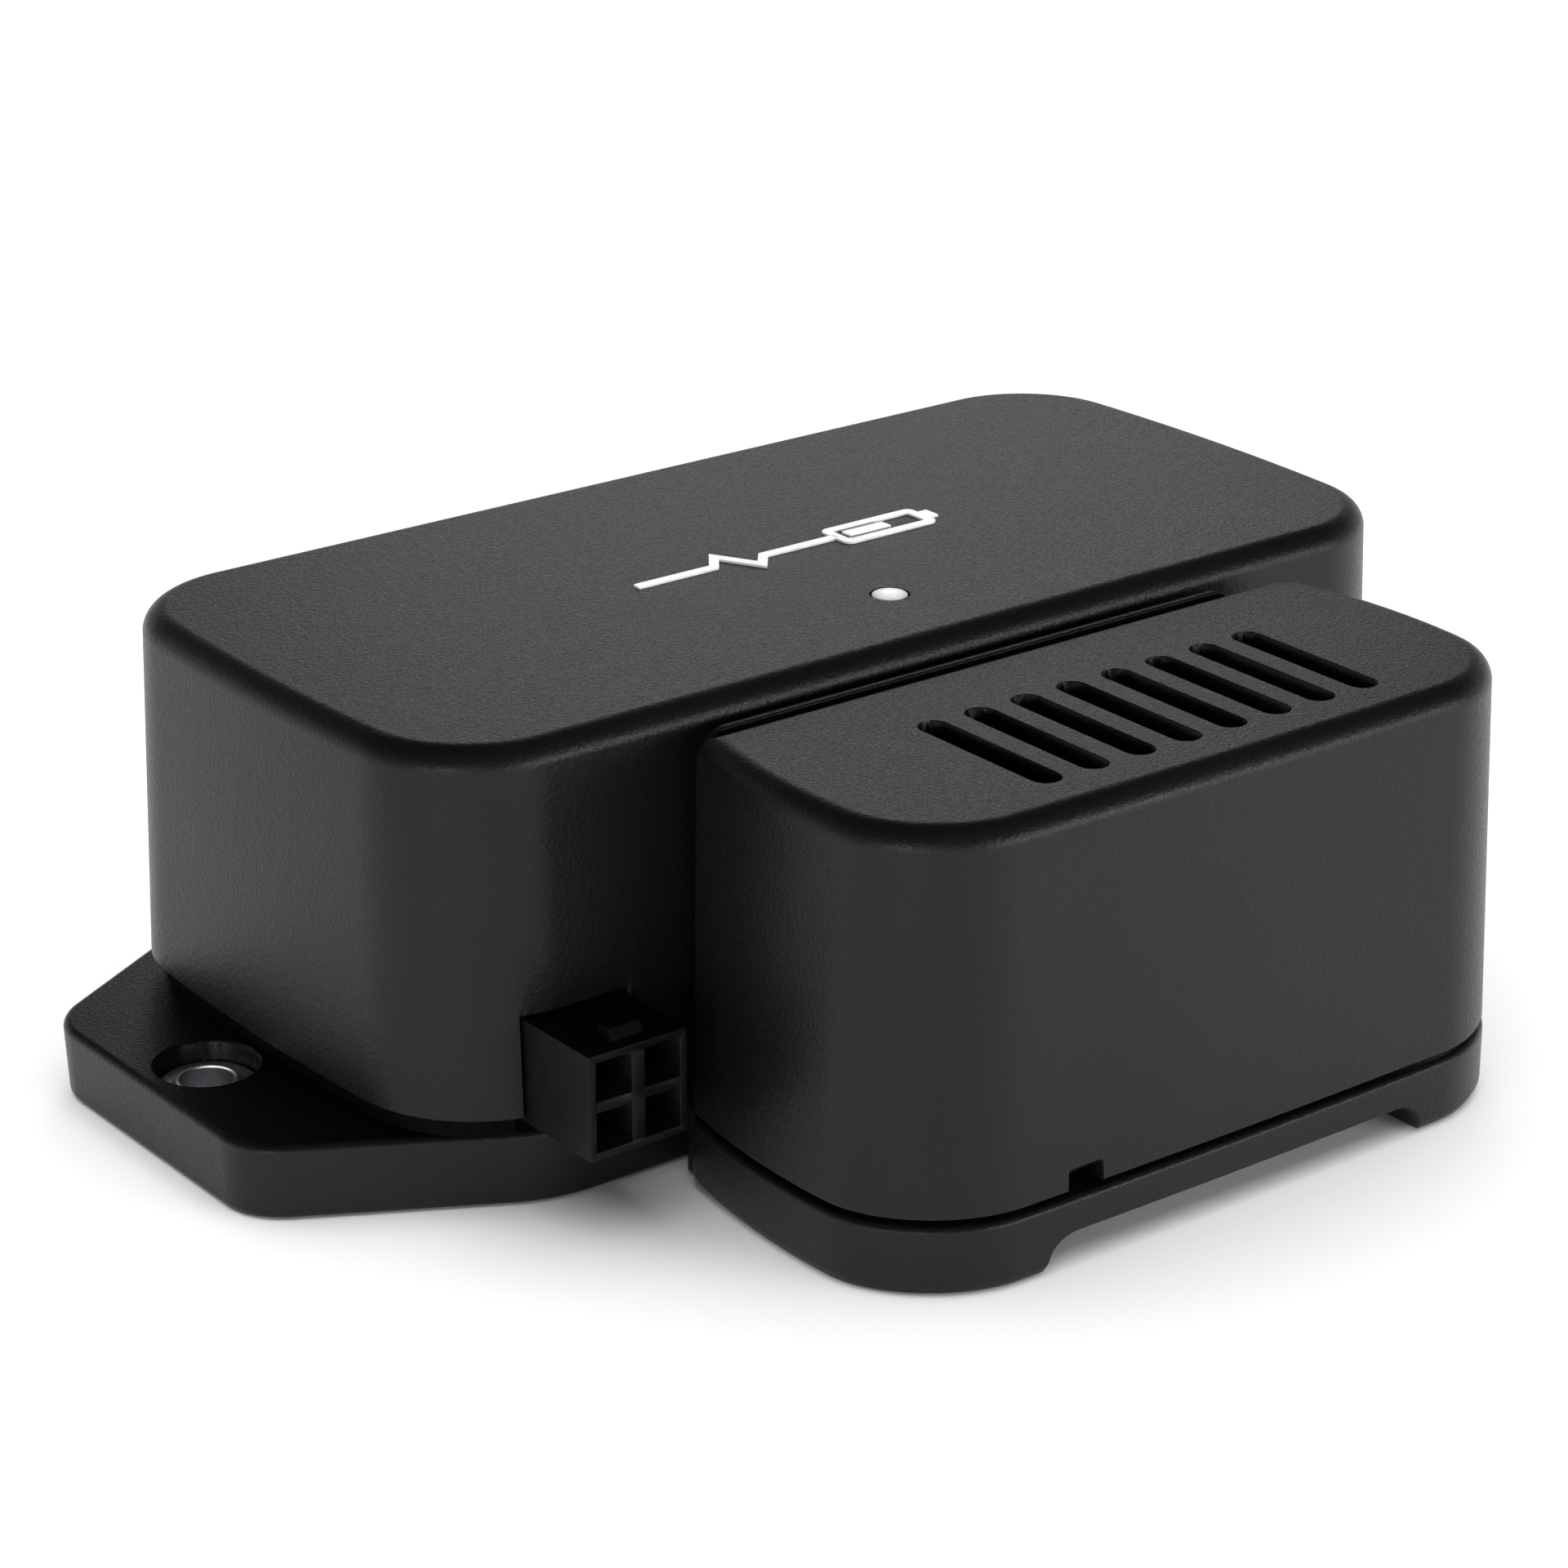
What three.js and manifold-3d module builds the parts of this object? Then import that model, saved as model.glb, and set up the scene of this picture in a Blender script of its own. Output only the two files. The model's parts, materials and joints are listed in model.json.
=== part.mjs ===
// Battery monitor shunt. Millimetres, +Z up, +X along the housing, -Y towards the terminal cover.
// The origin is the centre of the base plate's underside.
import * as THREE from "three";
import { mergeVertices } from "three/addons/utils/BufferGeometryUtils.js";
import Module from "manifold-3d";

const wasm = await Module();
wasm.setup();

// ---- Driving dimensions ----
const GAP = 0.3; // between touching pieces
const WALL = 2.0;

const HOUSING = {
  x0: -53.6, x1: 53.6, y0: -26.9, y1: 26.9, corner: 10.5, rearLeft: 10.5, rearRight: 10.5,
  endBulge: 1.5, sideBulge: 0, bottom: 9.0, top: 41.5, fillet: 2.1, draft: 0.9, fixedY: 0,
};
const COVER = {
  x0: -30.9, x1: 35.6, y0: -59.9, y1: -29.7, corner: 9.5, rearLeft: 2.4, rearRight: 3.4,
  endBulge: 1.7, sideBulge: 0.55, bottom: 6.7, top: 40.0, fillet: 1.8, draft: 1.0, fixedY: -29.7,
};
const PLATE = {
  length: 131.8, front: -26.9, rear: 27.8, thick: 6.8,
  earCorner: 6.5, earFront: -14.1, earRear: 18.3, frontStart: 43.3, rearStart: 49.1,
};
const EAR_SCREW = { x: 59.7, y: 2.1, recess: 4.57, recessFloor: 3.7, bore: 2.25 };
const TRAY = { floor: 4.2, rim: 6.1, lip: 8.4, grow: 1.15 };
const ARCH = { x0: -18.9, x1: 23.6, height: 3.0, ramp: 3.6 };
const BACK_PLATE = { x0: -30.6, x1: 29.6, y0: -29.4, y1: -28.6, top: 39.8, corner: 2.9, lean: 0.7 };
const BRIDGE = { x0: -16, x1: 20, z0: 2.2 };
const SLOTS = { count: 8, pitch: 5.0, centre: 3.44, y0: -55.5, y1: -38.7, width: 2.85 };
const NOTCH = { x0: -16.8, x1: -13.1, top: 8.7 };
const DUCT = { x0: -4, x1: 14, z0: 14, z1: 28, y0: -32.5, y1: -23.4, wall: 1.5 };
const LIGHT = { x: 0.7, y: -15.9, radius: 1.6 };
const BOARD = { x0: -45.6, x1: 45.6, y0: -23.8, y1: 21.5, z0: 6.6, z1: 8.2 };
const POCKET = { halfLength: 46.0, y0: -24.2, y1: 24.0, floor: 3.5, corner: 6 };
const HOUSING_SCREW = { x: 49.8, y: 11, shank: 1.4, head: 2.8 };
const BOARD_SCREWS = [[-41.5, 16], [41.5, 16], [41.5, -18], [-30, -20]];
const HEADER = {
  x0: -46.4, x1: -36.6, y0: -36.3, y1: -22.6, z0: 8.5, z1: 17.9, cell: 3.5, pitchX: 4.85, pitchZ: 4.5,
};
const STUD = { x: 24, ys: { front: -51.6, rear: -38.4 }, radius: 3, headFlats: 9, nutFlats: 10, top: 27 };
const BAR = {
  x0: -22, padX: 15, x1: 31, narrow: 6, pad: 11, z0: 8.8, z1: 13.3, edges: { front: -57.3, rear: -32.7 },
};
const BLADES = { count: 6, pitch: 5.0, first: -13.5, thick: 1.0, z0: 6.6, z1: 14.6 };
const CABLE_MOUTH = { ys: [-51.0, -39.0], width: 9.4, top: 21 };
const SHUNT_SCREW_X = -18;
const SENSE_SCREW_X = 4;

// ---- Finishes ----
const finish = (color, roughness, metalness = 0) => (
  new THREE.MeshStandardMaterial({ color, roughness, metalness })
);
const FINISH = {
  casing: finish(0x232427, 0.6),
  header: finish(0x121315, 0.45),
  gasket: finish(0x0c0c0d, 0.9),
  light: finish(0xf2f4f6, 0.2),
  mark: finish(0xc6c8ca, 0.5),
  steel: finish(0xa8aaac, 0.35, 1),
  brass: finish(0xb98f4e, 0.35, 1),
  alloy: finish(0x9c8168, 0.4, 1),
  board: finish(0x123d24, 0.5),
  chip: finish(0x151618, 0.5),
  can: finish(0xb4b6b8, 0.3, 1),
  wire: finish(0x9a1d1a, 0.5),
};

// ---- Solids ----
const solid = (geometry) => {
  const bare = geometry.clone();
  bare.deleteAttribute("normal");
  bare.deleteAttribute("uv");
  const merged = mergeVertices(bare, 1e-4);
  return new wasm.Manifold(new wasm.Mesh({
    numProp: 3,
    vertProperties: new Float32Array(merged.attributes.position.array),
    triVerts: new Uint32Array(merged.index.array),
  }));
};
const join = (first, ...others) => others.reduce((made, other) => made.add(other), first);
const cut = (first, ...others) => others.reduce((made, other) => made.subtract(other), first);

function geometryOf(manifold) {
  const mesh = manifold.getMesh();
  const geometry = new THREE.BufferGeometry();
  geometry.setAttribute("position", new THREE.BufferAttribute(mesh.vertProperties, 3));
  geometry.setIndex(new THREE.BufferAttribute(mesh.triVerts, 1));
  const flat = geometry.toNonIndexed();
  flat.computeVertexNormals();
  return flat;
}

const block = (x0, x1, y0, y1, z0, z1) => {
  const box = new THREE.BoxGeometry(x1 - x0, y1 - y0, z1 - z0);
  return solid(box.translate((x0 + x1) / 2, (y0 + y1) / 2, (z0 + z1) / 2));
};
const rod = (x, y, radius, z0, z1, sides = 20) => {
  const cylinder = new THREE.CylinderGeometry(radius, radius, z1 - z0, sides);
  return solid(cylinder.rotateX(Math.PI / 2).translate(x, y, (z0 + z1) / 2));
};
const plate = (shape, z0, z1, curveSegments = 8) => {
  const extruded = new THREE.ExtrudeGeometry(shape, { depth: z1 - z0, bevelEnabled: false, curveSegments });
  return solid(extruded.translate(0, 0, z0));
};
// A body of revolution about a vertical axis; the profile is a list of [radius, z].
const turned = (x, y, profile, sides = 20) => {
  const points = profile.map(([radius, z]) => new THREE.Vector2(radius, z));
  return solid(new THREE.LatheGeometry(points, sides).rotateX(Math.PI / 2).translate(x, y, 0));
};
// A hexagonal prism with flats facing +Y and -Y.
function hexagon(x, y, flats, z0, z1) {
  const radius = flats / Math.sqrt(3);
  const prism = new THREE.CylinderGeometry(radius, radius, z1 - z0, 6);
  prism.rotateX(Math.PI / 2).rotateZ(Math.PI / 6);
  return solid(prism.translate(x, y, (z0 + z1) / 2));
}

// ---- Outlines ----
// A polygon with rounded corners, each [x, y, radius], in anticlockwise order.
function roundedPolygon(corners) {
  const shape = new THREE.Shape();
  corners.forEach(([x, y, radius], i) => {
    const corner = new THREE.Vector2(x, y);
    const before = new THREE.Vector2(...corners.at(i - 1)).sub(corner);
    const after = new THREE.Vector2(...corners[(i + 1) % corners.length]).sub(corner);
    const half = Math.abs(before.angleTo(after)) / 2;
    const reach = radius / Math.tan(half);
    const start = corner.clone().addScaledVector(before.normalize(), reach);
    const end = corner.clone().addScaledVector(after.normalize(), reach);
    const steps = radius > 3 ? 6 : 2;
    const bisector = before.clone().add(after).normalize();
    const centre = corner.clone().addScaledVector(bisector, radius / Math.sin(half));
    const from = start.clone().sub(centre).angle();
    let sweep = end.clone().sub(centre).angle() - from;
    if (sweep > Math.PI) sweep -= 2 * Math.PI;
    if (sweep < -Math.PI) sweep += 2 * Math.PI;
    for (let k = 0; k <= steps; k++) {
      const angle = from + (sweep * k) / steps;
      const px = centre.x + radius * Math.cos(angle);
      const py = centre.y + radius * Math.sin(angle);
      if (i === 0 && k === 0) shape.moveTo(px, py);
      else shape.lineTo(px, py);
    }
  });
  shape.closePath();
  return shape;
}
const roundedBox = (x0, x1, y0, y1, radius) => roundedPolygon([
  [x0, y0, radius], [x1, y0, radius], [x1, y1, radius], [x0, y1, radius],
]);

// A casing's plan outline grown by `grow`, with gently bowed ends and front.
function casingOutline(casing, grow) {
  const { x0, x1, y0, y1, corner, rearLeft, rearRight, endBulge, sideBulge } = casing;
  const grown = (radius) => Math.max(radius + grow, 1.3);
  const shape = roundedPolygon([
    [x0 - grow, y0 - grow, grown(corner)], [x1 + grow, y0 - grow, grown(corner)],
    [x1 + grow, y1 + grow, grown(rearRight)], [x0 - grow, y1 + grow, grown(rearLeft)],
  ]);
  const centre = new THREE.Vector2((x0 + x1) / 2, (y0 + y1) / 2);
  const half = new THREE.Vector2((x1 - x0) / 2, (y1 - y0) / 2);
  const bowed = subdivided(shape.getPoints(), half.y / 2).map((point) => {
    const u = (point.x - centre.x) / half.x;
    const v = (point.y - centre.y) / half.y;
    const endBow = endBulge * u * Math.max(0, 1 - v * v);
    const frontBow = v < 0 ? sideBulge * v * Math.max(0, 1 - u * u) : 0;
    return new THREE.Vector2(point.x + endBow, point.y + frontBow);
  });
  return new THREE.Shape(bowed);
}
function subdivided(points, longest) {
  const closed = points.at(0).distanceTo(points.at(-1)) < 1e-6 ? points.slice(0, -1) : points;
  return closed.flatMap((point, i) => {
    const next = closed[(i + 1) % closed.length];
    const steps = Math.ceil(point.distanceTo(next) / longest);
    return Array.from({ length: steps }, (_, k) => point.clone().lerp(next, k / steps));
  });
}

// A casing's solid: top edge rounded by `fillet`, walls drafted outwards below the top, away from `fixedY`.
function casingSolid(casing, grow, bottom, top, fillet) {
  const spare = fillet + 1;
  const geometry = new THREE.ExtrudeGeometry(casingOutline(casing, grow), {
    depth: top - bottom + spare - 2 * fillet,
    bevelThickness: fillet,
    bevelSize: fillet,
    bevelOffset: -fillet,
    bevelSegments: fillet > 1 ? 3 : 1,
  });
  geometry.translate(0, 0, bottom - spare + fillet);
  const centre = [(casing.x0 + casing.x1) / 2, casing.fixedY];
  const half = [(casing.x1 - casing.x0) / 2, casing.fixedY - casing.y0];
  const position = geometry.attributes.position;
  for (let i = 0; i < position.count; i++) {
    const spread = casing.draft * (casing.top - position.getZ(i)) / (casing.top - casing.bottom);
    position.setX(i, centre[0] + (position.getX(i) - centre[0]) * (1 + spread / half[0]));
    position.setY(i, centre[1] + (position.getY(i) - centre[1]) * (1 + spread / half[1]));
  }
  return cut(solid(geometry), block(-100, 100, -100, 100, bottom - 2 * spare, bottom));
}

// ---- Casing pieces ----
function upperHousing() {
  const shell = cut(
    casingSolid(HOUSING, 0, HOUSING.bottom, HOUSING.top, HOUSING.fillet),
    casingSolid(HOUSING, -WALL, HOUSING.bottom - 1, HOUSING.top - WALL, 1.2),
  );
  const bosses = cornerScrewPlaces().map(([x, y]) => rod(x, y, 3.4, HOUSING.bottom, HOUSING.top - 1, 16));
  const pilots = cornerScrewPlaces().map(([x, y]) => rod(x, y, 1.7, HOUSING.bottom - 1, 21, 12));
  const window = block(HEADER.x0 - GAP, HEADER.x1 + GAP, -30, -20, HOUSING.bottom - 1, HEADER.z1 + GAP);
  const ductWindow = block(DUCT.x0 - GAP, DUCT.x1 + GAP, -30, -20, DUCT.z0 - GAP, DUCT.z1 + GAP);
  const lightHole = rod(LIGHT.x, LIGHT.y, LIGHT.radius + GAP, HOUSING.top - 5, HOUSING.top + 1);
  return cut(join(shell, ...bosses), ...pilots, window, ductWindow, lightHole);
}

function cornerScrewPlaces() {
  const { x, y } = HOUSING_SCREW;
  return [[-x, -y], [x, -y], [x, y], [-x, y]];
}

function earPlate() {
  const { length, front, rear, thick, earCorner, earFront, earRear, frontStart, rearStart } = PLATE;
  const end = length / 2;
  const outline = roundedPolygon([
    [-end, earFront, earCorner],
    [-frontStart, front, 14],
    [frontStart, front, 14],
    [end, earFront, earCorner],
    [end, earRear, earCorner],
    [rearStart, rear, 6],
    [-rearStart, rear, 6],
    [-end, earRear, earCorner],
  ]);
  const pocketOutline = roundedBox(-POCKET.halfLength, POCKET.halfLength, POCKET.y0, POCKET.y1, POCKET.corner);
  const pocket = plate(pocketOutline, POCKET.floor, thick + 1);
  const earCuts = [-1, 1].flatMap((side) => [
    rod(side * EAR_SCREW.x, EAR_SCREW.y, EAR_SCREW.recess, EAR_SCREW.recessFloor, thick + 1, 32),
    rod(side * EAR_SCREW.x, EAR_SCREW.y, 3.4, -1, thick, 24),
  ]);
  const screwCuts = cornerScrewPlaces().flatMap(([x, y]) => [
    rod(x, y, HOUSING_SCREW.shank + GAP, -1, thick + 1, 12),
    rod(x, y, HOUSING_SCREW.head + GAP, -1, 2.7, 16),
  ]);
  const standoffs = BOARD_SCREWS.map(([x, y]) => rod(x, y, 3.2, POCKET.floor - 0.5, BOARD.z0 - GAP, 16));
  const standoffHoles = BOARD_SCREWS.map(([x, y]) => rod(x, y, 1.5, 2.9, BOARD.z0, 12));
  const body = join(cut(plate(outline, 0, thick), pocket), ...standoffs);
  return cut(body, ...earCuts, ...screwCuts, ...standoffHoles);
}

// The tray that carries the shunt: two feet with an arch between them, a locating lip and screw posts.
function terminalTray() {
  const slab = cut(
    casingSolid(COVER, TRAY.grow - COVER.draft, 0, TRAY.rim, 0.4),
    plate(casingOutline(COVER, -WALL - 1.5), TRAY.floor, TRAY.rim + 3),
  );
  const lip = cut(
    plate(casingOutline(COVER, -WALL - GAP), TRAY.floor, TRAY.lip),
    plate(casingOutline(COVER, -WALL - 1.5), TRAY.floor - 1, TRAY.lip + 1),
    block(COVER.x0, COVER.x1, STUD.ys.rear, COVER.y1, TRAY.rim, TRAY.lip + 1),
  );
  const posts = ["front", "rear"].map((side) => (
    rod(SHUNT_SCREW_X, barMiddle(side), 3.2, TRAY.floor - 1, BAR.z0 - GAP, 16)
  ));
  const holes = ["front", "rear"].map((side) => (
    rod(SHUNT_SCREW_X, barMiddle(side), 1.7, TRAY.floor, BAR.z0, 12)
  ));
  return cut(join(slab, lip, ...posts), archCut(), ...holes);
}

function archCut() {
  const { x0, x1, height, ramp } = ARCH;
  const shape = new THREE.Shape();
  shape.moveTo(x0 - 0.5, -1);
  shape.lineTo(x0, 0);
  shape.quadraticCurveTo(x0 + 0.35 * ramp, 0.9 * height, x0 + ramp, height);
  shape.lineTo(x1 - ramp, height);
  shape.quadraticCurveTo(x1 - 0.35 * ramp, 0.9 * height, x1, 0);
  shape.lineTo(x1 + 0.5, -1);
  const depth = COVER.y1 - COVER.y0 + 10;
  const extruded = new THREE.ExtrudeGeometry(shape, { depth, bevelEnabled: false, curveSegments: 5 });
  return solid(extruded.rotateX(Math.PI / 2).translate(0, COVER.y1 + 3, 0));
}

function backPlate() {
  const { x0, x1, y0, y1, top, corner, lean } = BACK_PLATE;
  const outline = roundedPolygon([[x0, 0, 0.4], [x1, 0, 0.4], [x1, top, corner], [x0 + lean, top, corner]]);
  const extruded = new THREE.ExtrudeGeometry(outline, { depth: y1 - y0, bevelEnabled: false });
  const upright = solid(extruded.rotateX(Math.PI / 2).translate(0, y1, 0));
  const window = block(DUCT.x0 - GAP, DUCT.x1 + GAP, y0 - 1, y1 + 1, DUCT.z0 - GAP, DUCT.z1 + GAP);
  const foot = block(x0 - 0.6, x1, y0 - 1, y1, 0, TRAY.rim);
  return cut(join(upright, foot), window, archCut());
}

function base() {
  const bridge = block(BRIDGE.x0, BRIDGE.x1, BACK_PLATE.y0, PLATE.front + 0.5, BRIDGE.z0, TRAY.rim);
  return join(earPlate(), bridge, backPlate(), terminalTray());
}

function terminalCover() {
  const shell = cut(
    casingSolid(COVER, 0, COVER.bottom, COVER.top, COVER.fillet),
    casingSolid(COVER, -WALL, COVER.bottom - 1, COVER.top - WALL, 1.0),
  );
  const slots = Array.from({ length: SLOTS.count }, (_, i) => {
    const x = SLOTS.centre + (i - (SLOTS.count - 1) / 2) * SLOTS.pitch;
    const half = SLOTS.width / 2;
    const outline = roundedBox(x - half, x + half, SLOTS.y0, SLOTS.y1, half - 0.01);
    return plate(outline, COVER.top - 4, COVER.top + 1);
  });
  const notch = block(NOTCH.x0, NOTCH.x1, COVER.y0 - 3, COVER.y0 + 4, 0, NOTCH.top);
  const ductWindow = block(DUCT.x0 - GAP, DUCT.x1 + GAP, -35, -28, 0, DUCT.z1 + GAP);
  const mouths = CABLE_MOUTH.ys.map((y) => {
    const radius = CABLE_MOUTH.width / 2;
    const straight = block(COVER.x1 - 6, COVER.x1 + 5, y - radius, y + radius, 0, CABLE_MOUTH.top - radius);
    const arch = new THREE.CylinderGeometry(radius, radius, 11, 20).rotateZ(Math.PI / 2);
    return join(straight, solid(arch.translate(COVER.x1 - 0.5, y, CABLE_MOUTH.top - radius)));
  });
  return cut(shell, ...slots, notch, ductWindow, ...mouths);
}

function housingGasket() {
  return cut(
    plate(casingOutline(HOUSING, -0.3), PLATE.thick + GAP, HOUSING.bottom - GAP),
    plate(casingOutline(HOUSING, -1.6), PLATE.thick, HOUSING.bottom),
    block(HEADER.x0 - GAP, HEADER.x1 + GAP, -30, -20, PLATE.thick, HOUSING.bottom),
  );
}

function senseDuct() {
  const { x0, x1, y0, y1, z0, z1, wall } = DUCT;
  const bore = block(x0 + wall, x1 - wall, y0 - 1, y1 + 1, z0 + wall, z1 - wall);
  return cut(block(x0, x1, y0, y1, z0, z1), bore);
}

function earBushing(x) {
  const { y, bore } = EAR_SCREW;
  const tube = [[bore, 0.3], [3.1, 0.3], [3.1, 4.0]];
  const flange = [[4.25, 4.0], [4.25, 5.0], [3.0, 5.0], [2.75, 5.4], [bore, 5.4], [bore, 0.3]];
  return turned(x, y, [...tube, ...flange], 32);
}

// The pictogram on the top face: a pulse line that ends in a battery.
function pictogram() {
  const z0 = HOUSING.top + 0.05;
  const z1 = HOUSING.top + 0.35;
  const stroke = 0.9;
  const bar = (ax, ay, bx, by) => {
    const length = Math.hypot(bx - ax, by - ay) + stroke;
    const box = new THREE.BoxGeometry(length, stroke, z1 - z0).rotateZ(Math.atan2(by - ay, bx - ax));
    return solid(box.translate((ax + bx) / 2, (ay + by) / 2, (z0 + z1) / 2));
  };
  const line = [[-16, -1.1], [-7.5, -1.1], [-5.9, 1.1], [-3.6, -3.1], [-2.0, -1.1], [6.2, -1.1]];
  const strokes = line.slice(1).map(([x, y], i) => bar(line[i][0], line[i][1], x, y));
  const battery = cut(
    plate(roundedBox(6, 16.6, -3.3, 1.1, 0.8), z0, z1),
    plate(roundedBox(6.9, 15.7, -2.4, 0.2, 0.3), z0 - 1, z1 + 1),
  );
  const charge = block(6.5, 12.2, -1.8, -0.4, z0, z1);
  const tip = block(16.3, 17.6, -2.0, -0.2, z0, z1);
  return join(battery, charge, tip, ...strokes);
}

// ---- Fasteners ----
// Pan-head screw along Z with a cross recess; `up` is +1 when the head is on top.
function screw(x, y, seat, length, shank, head, headHeight, up) {
  const at = (distance) => seat + up * distance;
  const profile = [
    [0, at(headHeight)], [head * 0.8, at(headHeight)], [head, at(headHeight * 0.6)], [head, at(0)],
    [shank, at(0)], [shank, at(shank - length)], [0, at(-length)],
  ];
  if (up > 0) profile.reverse();
  const low = Math.min(at(headHeight * 0.45), at(headHeight + 1));
  const high = Math.max(at(headHeight * 0.45), at(headHeight + 1));
  const [long, thin] = [head * 0.55, head * 0.13];
  return cut(
    turned(x, y, profile, 12),
    block(x - long, x + long, y - thin, y + thin, low, high),
    block(x - thin, x + thin, y - long, y + long, low, high),
  );
}

const STACK = { washer: BAR.z1 + GAP, spring: 15.1, nut: 17.0, nutHeight: 5 };

function stud(side) {
  const y = STUD.ys[side];
  const shank = turned(STUD.x, y, [
    [0, TRAY.floor + 1],
    [STUD.radius, TRAY.floor + 1],
    [STUD.radius, STUD.top - 0.8],
    [STUD.radius - 0.8, STUD.top],
    [0, STUD.top],
  ]);
  return join(hexagon(STUD.x, y, STUD.headFlats, TRAY.floor + GAP, BAR.z0 - GAP), shank);
}
const ring = (x, y, inner, outer, z0, z1) => (
  cut(rod(x, y, outer, z0, z1), rod(x, y, inner, z0 - 1, z1 + 1))
);
const washer = (side) => (
  ring(STUD.x, STUD.ys[side], STUD.radius + 0.2, 5.7, STACK.washer, STACK.washer + 1.2)
);
const springWasher = (side) => cut(
  ring(STUD.x, STUD.ys[side], STUD.radius + 0.2, 5.0, STACK.spring, STACK.spring + 1.6),
  block(STUD.x + 1, STUD.x + 7, STUD.ys[side] - 0.3, STUD.ys[side] + 0.3, 0, 40),
);
function nut(side) {
  const y = STUD.ys[side];
  const { nut: z0, nutHeight } = STACK;
  const z1 = z0 + nutHeight;
  const chamfer = [[0, z0], [5.1, z0], [5.85, z0 + 0.5], [5.85, z1 - 0.5], [5.1, z1], [0, z1]];
  const body = hexagon(STUD.x, y, STUD.nutFlats, z0, z1).intersect(turned(STUD.x, y, chamfer));
  return cut(body, rod(STUD.x, y, STUD.radius + 0.1, z0 - 1, z1 + 1));
}

// ---- Shunt ----
const outward = { front: -1, rear: 1 };
const barMiddle = (side) => BAR.edges[side] - outward[side] * BAR.narrow / 2;

function shuntBar(side) {
  const edge = BAR.edges[side];
  const inner = (width) => edge - outward[side] * width;
  const corners = [
    [BAR.x0, edge, 0.8], [BAR.x1, edge, 2.5], [BAR.x1, inner(BAR.pad), 2.5],
    [BAR.padX, inner(BAR.pad), 0.8], [BAR.padX, inner(BAR.narrow), 0.8], [BAR.x0, inner(BAR.narrow), 0.8],
  ];
  const outline = roundedPolygon(side === "front" ? corners : corners.reverse());
  return cut(
    plate(outline, BAR.z0, BAR.z1),
    rod(STUD.x, STUD.ys[side], STUD.radius + 0.2, 0, 40),
    rod(SHUNT_SCREW_X, barMiddle(side), 1.9, 0, 40, 16),
    rod(SENSE_SCREW_X, barMiddle(side), 1.5, BAR.z0 + 0.8, 40, 16),
  );
}

function blade(index) {
  const x = BLADES.first + index * BLADES.pitch;
  const y0 = BAR.edges.front + BAR.narrow + GAP;
  const y1 = BAR.edges.rear - BAR.narrow - GAP;
  return block(x - BLADES.thick / 2, x + BLADES.thick / 2, y0, y1, BLADES.z0, BLADES.z1);
}

const divider = () => block(BAR.padX, 32.2, -45.6, -44.4, TRAY.floor + GAP, 26);

const LUG = { z0: BAR.z1 + GAP, thick: 0.8, ring: 2.9, hole: 1.5, barrel: 1.3 };
function senseLug(side) {
  const y = barMiddle(side);
  const inward = y - outward[side] * 6.4;
  const [low, high] = [Math.min(y, inward), Math.max(y, inward)];
  const z1 = LUG.z0 + LUG.thick;
  const tab = join(
    rod(SENSE_SCREW_X, y, LUG.ring, LUG.z0, z1, 20),
    block(SENSE_SCREW_X - 1.2, SENSE_SCREW_X + 1.2, low, high, LUG.z0, z1),
  );
  return cut(tab, rod(SENSE_SCREW_X, y, LUG.hole, LUG.z0 - 1, z1 + 1, 16));
}
const senseScrew = (side) => (
  screw(SENSE_SCREW_X, barMiddle(side), LUG.z0 + LUG.thick + GAP, 4.4, 1.2, 2.4, 1.5, 1)
);
const barScrew = (side) => screw(SHUNT_SCREW_X, barMiddle(side), BAR.z1 + GAP, 7.4, 1.4, 2.8, 1.8, 1);

// A lead from its lug, up over the blades, through the duct and down to the board.
function senseLead(side, laneX) {
  const y = barMiddle(side) - outward[side] * 7.4;
  const start = side === "front"
    ? [[SENSE_SCREW_X, y, 15.9], [laneX + 1, y + 2.1, 17.6], [laneX, -41, 20.2]]
    : [[SENSE_SCREW_X, y, 15.9], [laneX - 1.6, y, 17.6], [laneX, -40.5, 20]];
  const rest = [
    [laneX, -36, 21],
    [laneX, -28.5, 21],
    [laneX, -22, 19.5],
    [laneX, -19.2, 14],
    [laneX, -19, 8.7],
  ];
  const curve = new THREE.CatmullRomCurve3([...start, ...rest].map((point) => new THREE.Vector3(...point)));
  const section = new THREE.Shape();
  section.absarc(0, 0, 0.65, 0, 2 * Math.PI);
  return solid(new THREE.ExtrudeGeometry(section, { steps: 18, curveSegments: 4, extrudePath: curve }));
}

// ---- Electronics ----
function board() {
  const { x0, x1, y0, y1, z0, z1 } = BOARD;
  const holes = BOARD_SCREWS.map(([x, y]) => rod(x, y, 1.6, z0 - 1, z1 + 1, 12));
  return cut(plate(roundedBox(x0, x1, y0, y1, 5), z0, z1), ...holes, ...headerPinPlaces().map(([x, , y]) => (
    block(x - 0.9, x + 0.9, y - 0.9, y + 0.9, z0 - 1, z1 + 1)
  )));
}

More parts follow.
